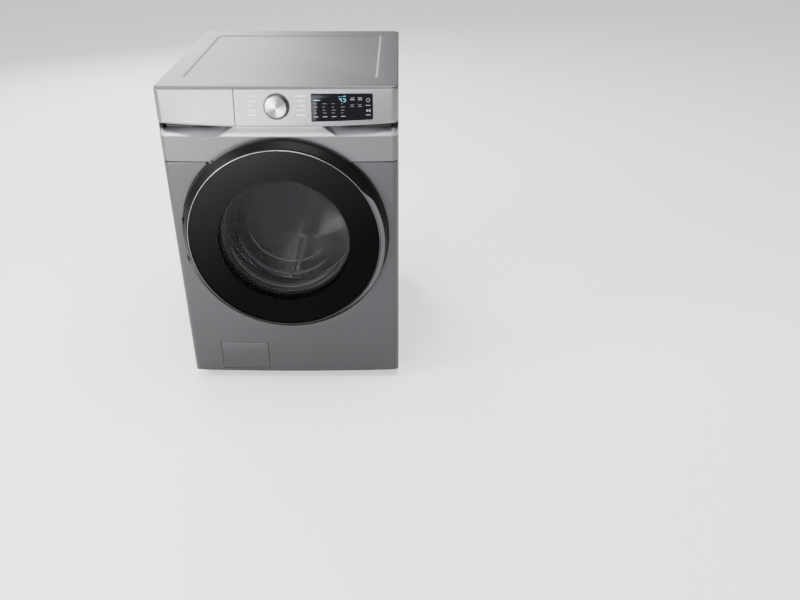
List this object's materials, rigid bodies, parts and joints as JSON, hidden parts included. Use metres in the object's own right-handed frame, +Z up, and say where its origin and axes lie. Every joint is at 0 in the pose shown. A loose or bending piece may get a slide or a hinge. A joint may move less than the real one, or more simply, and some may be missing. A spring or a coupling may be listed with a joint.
{
  "type": "front load washing machine",
  "caption": "Full-size front load washing machine with a round glass door, detergent drawer, selector knob, suspended tub, belt-driven drum and drain filter.",
  "frame": {"origin": "on the floor, under the middle of the whole machine, door included", "axes": "+Z up, the front with the door faces -Y, +X to the right seen from the front"},
  "size_m": [0.686, 0.797, 0.984],
  "materials": {
    "platinum_paint": "brushed platinum grey paint",
    "platinum_plastic": "metallic grey satin",
    "galvanised": "galvanised sheet",
    "stainless": "polished drum steel",
    "brushed_metal": "turned face",
    "chrome": "bright trim",
    "smoked_glass": "glossy smoked black",
    "clear_glass": "clear",
    "grey_rubber": "satin",
    "black_rubber": "matt",
    "white_plastic": "moulded",
    "grey_plastic": "moulded",
    "dark_plastic": "moulded",
    "blue_plastic": "moulded",
    "concrete": "cast",
    "spring_steel": "oiled",
    "cast_aluminium": "as cast",
    "motor_casing": "dull painted"
  },
  "bodies": {
    "cabinet": {"side_panel_left": "platinum_paint", "side_panel_right": "platinum_paint", "rear_panel": "galvanised", "rear_service_cover": "galvanised", "top_panel": "platinum_paint", "front_panel": "platinum_paint", "front_upper_panel": "platinum_paint", "control_panel": "platinum_plastic", "display_window": "smoked_glass", "control_board": "dark_plastic", "base_pan": "galvanised", "spring_crossbar": "galvanised", "dispenser_housing": "white_plastic", "inlet_valve": "white_plastic", "drain_outlet": "grey_plastic", "door_lock": "dark_plastic", "hinge_bracket": "galvanised", "pump_body": "dark_plastic", "drain_hose": "black_rubber", "damper_cylinder_front_left": "grey_plastic", "damper_cylinder_front_right": "grey_plastic", "damper_cylinder_rear": "grey_plastic"},
    "foot_front_left_body": {"foot_front_left": "black_rubber"},
    "foot_front_right_body": {"foot_front_right": "black_rubber"},
    "foot_rear_left_body": {"foot_rear_left": "black_rubber"},
    "foot_rear_right_body": {"foot_rear_right": "black_rubber"},
    "door": {"door_rear_frame": "grey_plastic", "door_bezel": "dark_plastic", "door_trim_ring": "chrome", "door_window": "smoked_glass", "door_bowl": "clear_glass", "door_handle": "platinum_plastic", "hinge_arm": "galvanised"},
    "door_hook_body": {"door_hook": "spring_steel"},
    "detergent_drawer": {"drawer_front": "platinum_plastic", "drawer_tray": "white_plastic"},
    "knob": {"selector_knob": "brushed_metal"},
    "filter_flap": {"filter_access_door": "platinum_plastic"},
    "filter": {"debris_filter": "blue_plastic"},
    "tub": {"tub_front_half": "grey_plastic", "tub_rear_half": "grey_plastic", "counterweight_top": "concrete", "counterweight_bottom": "concrete", "motor_housing": "motor_casing", "drive_belt": "black_rubber", "damper_rod_front_left": "spring_steel", "damper_rod_front_right": "spring_steel", "damper_rod_rear": "spring_steel", "door_gasket": "grey_rubber", "sump_hose": "black_rubber", "dispenser_hose": "black_rubber", "tub_spring_left": "spring_steel", "tub_spring_right": "spring_steel"},
    "drum": {"drum_shell": "stainless", "drum_spider": "cast_aluminium", "drum_pulley": "cast_aluminium", "drum_lifter_1": "white_plastic", "drum_lifter_2": "white_plastic", "drum_lifter_3": "white_plastic"},
    "motor_rotor": {"motor_pulley": "spring_steel"}
  },
  "joints": [
    {"name": "door_swing", "type": "hinge", "parent": "cabinet", "child": "door", "pos_m": [-0.295, -0.37, 0.533], "axis": [0, 0, -1], "range_deg": [0, 110]},
    {"name": "door_hook_pivot", "type": "hinge", "parent": "door", "child": "door_hook_body", "pos_m": [0.2455, -0.356, 0.533], "axis": [0, 0, 1], "range_deg": [0, 12], "stiffness_Nm_per_rad": 0.05},
    {"name": "drawer_slide", "type": "slide", "parent": "cabinet", "child": "detergent_drawer", "axis": [0, -1, 0], "range_m": [0, 0.2]},
    {"name": "knob_turn", "type": "hinge", "parent": "cabinet", "child": "knob", "pos_m": [0.002, -0.34403, 0.932], "axis": [0, -0.9787, 0.2055], "continuous": true},
    {"name": "tub_bounce", "type": "slide", "parent": "cabinet", "child": "tub", "axis": [0, 0, 1], "range_m": [-0.012, 0.012], "stiffness_N_per_m": 8000, "springref_m": 0.0467, "deforming": ["door_gasket", "sump_hose", "dispenser_hose", "tub_spring_left", "tub_spring_right"]},
    {"name": "drum_spin", "type": "hinge", "parent": "tub", "child": "drum", "pos_m": [0, 0, 0.533], "axis": [0, 1, 0], "continuous": true},
    {"name": "motor_spin", "type": "hinge", "parent": "tub", "child": "motor_rotor", "pos_m": [0.075, 0, 0.155], "axis": [0, 1, 0], "continuous": true},
    {"name": "filter_flap_swing", "type": "hinge", "parent": "cabinet", "child": "filter_flap", "pos_m": [0, -0.3475, 0.0405], "axis": [1, 0, 0], "range_deg": [0, 80]},
    {"name": "filter_turn", "type": "hinge", "parent": "cabinet", "child": "filter", "pos_m": [-0.1655, 0, 0.092], "axis": [0, -1, 0], "range_deg": [0, 180]},
    {"name": "foot_front_left_level", "type": "slide", "parent": "cabinet", "child": "foot_front_left_body", "axis": [0, 0, -1], "range_m": [0, 0.015]},
    {"name": "foot_front_right_level", "type": "slide", "parent": "cabinet", "child": "foot_front_right_body", "axis": [0, 0, -1], "range_m": [0, 0.015]},
    {"name": "foot_rear_left_level", "type": "slide", "parent": "cabinet", "child": "foot_rear_left_body", "axis": [0, 0, -1], "range_m": [0, 0.015]},
    {"name": "foot_rear_right_level", "type": "slide", "parent": "cabinet", "child": "foot_rear_right_body", "axis": [0, 0, -1], "range_m": [0, 0.015]}
  ],
  "couplings": [
    {"joint": "motor_spin", "follows": "drum_spin", "ratio": 10}
  ]
}
